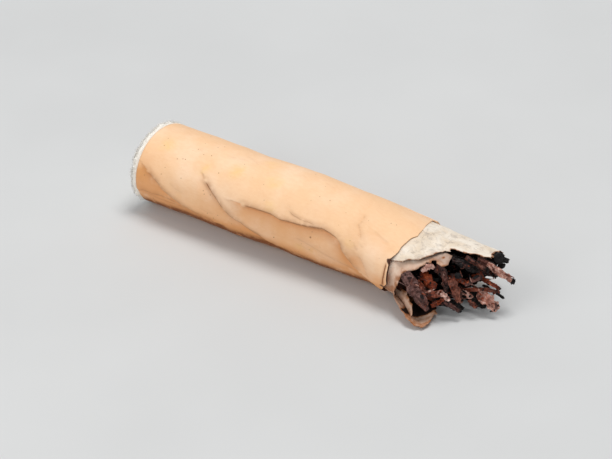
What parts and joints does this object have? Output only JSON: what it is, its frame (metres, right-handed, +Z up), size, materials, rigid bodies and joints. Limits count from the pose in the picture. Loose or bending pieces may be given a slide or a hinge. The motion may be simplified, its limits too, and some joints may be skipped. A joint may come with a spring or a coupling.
{
  "type": "cigarette butt",
  "caption": "Crushed filter cigarette butt: creased tan wrap, white fibre filter, torn and scorched white paper, and loose shreds of burnt leaf at the open end.",
  "frame": {"origin": "on the ground, under the middle of the butt's box", "axes": "+X along the butt from the filter's mouth end to the torn end, +Z up"},
  "size_m": [0.0368, 0.0102, 0.0075],
  "materials": {
    "tipping_paper": "matt tan tipping paper, creased, with soft yellowish blotches",
    "cigarette_paper": "matt white paper, greyed, stained tan and scorched at the torn edge",
    "plug_wrap": "thin white paper",
    "filter_tow": "white crimped fibres, fuzzy at the end",
    "packed_tobacco": "packed dark brown cut leaf",
    "leaf_dark": "dark purplish brown dried leaf",
    "leaf_brown": "brown dried leaf",
    "leaf_rust": "rust-red dried leaf",
    "leaf_pink": "pinkish tan dried leaf and stem",
    "char": "matt black char"
  },
  "bodies": {
    "root": {"char_crumb_centre": "char", "char_crumb_low": "char", "char_lump_side": "char", "char_lump_tip": "char", "char_lump_upper": "char", "chip_front": "leaf_pink", "chip_low": "leaf_brown", "cigarette_paper": "cigarette_paper", "filter_tow": "filter_tow", "flake_right": "leaf_pink", "leaf_arch": "leaf_dark", "leaf_bundle_1": "leaf_brown", "leaf_bundle_2": "leaf_dark", "leaf_bundle_3": "leaf_rust", "leaf_bundle_4": "leaf_dark", "leaf_bundle_5": "leaf_brown", "leaf_centre": "leaf_brown", "leaf_centre_chip": "leaf_pink", "leaf_centre_rust": "leaf_rust", "leaf_cluster": "leaf_brown", "leaf_curl_front": "leaf_pink", "leaf_far_1": "leaf_dark", "leaf_far_2": "leaf_brown", "leaf_far_3": "leaf_dark", "leaf_inner_front": "leaf_brown", "leaf_inside_1": "leaf_brown", "leaf_inside_10": "leaf_brown", "leaf_inside_11": "leaf_dark", "leaf_inside_12": "leaf_brown", "leaf_inside_13": "leaf_brown", "leaf_inside_14": "leaf_dark", "leaf_inside_15": "leaf_brown", "leaf_inside_16": "leaf_dark", "leaf_inside_2": "leaf_dark", "leaf_inside_3": "leaf_brown", "leaf_inside_4": "leaf_brown", "leaf_inside_5": "leaf_dark", "leaf_inside_6": "leaf_brown", "leaf_inside_7": "leaf_brown", "leaf_inside_8": "leaf_dark", "leaf_inside_9": "leaf_brown", "leaf_low_1": "leaf_dark", "leaf_low_2": "leaf_brown", "leaf_low_3": "leaf_dark", "leaf_low_front": "leaf_rust", "leaf_roof_1": "leaf_dark", "leaf_roof_2": "leaf_brown", "leaf_roof_3": "leaf_dark", "leaf_rust_bar": "leaf_rust", "leaf_strand": "leaf_brown", "leaf_wide_front": "leaf_dark", "plug_wrap": "plug_wrap", "stem_long": "leaf_pink", "stem_tip": "char", "thread_low": "leaf_dark", "thread_right": "char", "tipping_paper": "tipping_paper", "tobacco_plug": "packed_tobacco"}
  },
  "joints": []
}
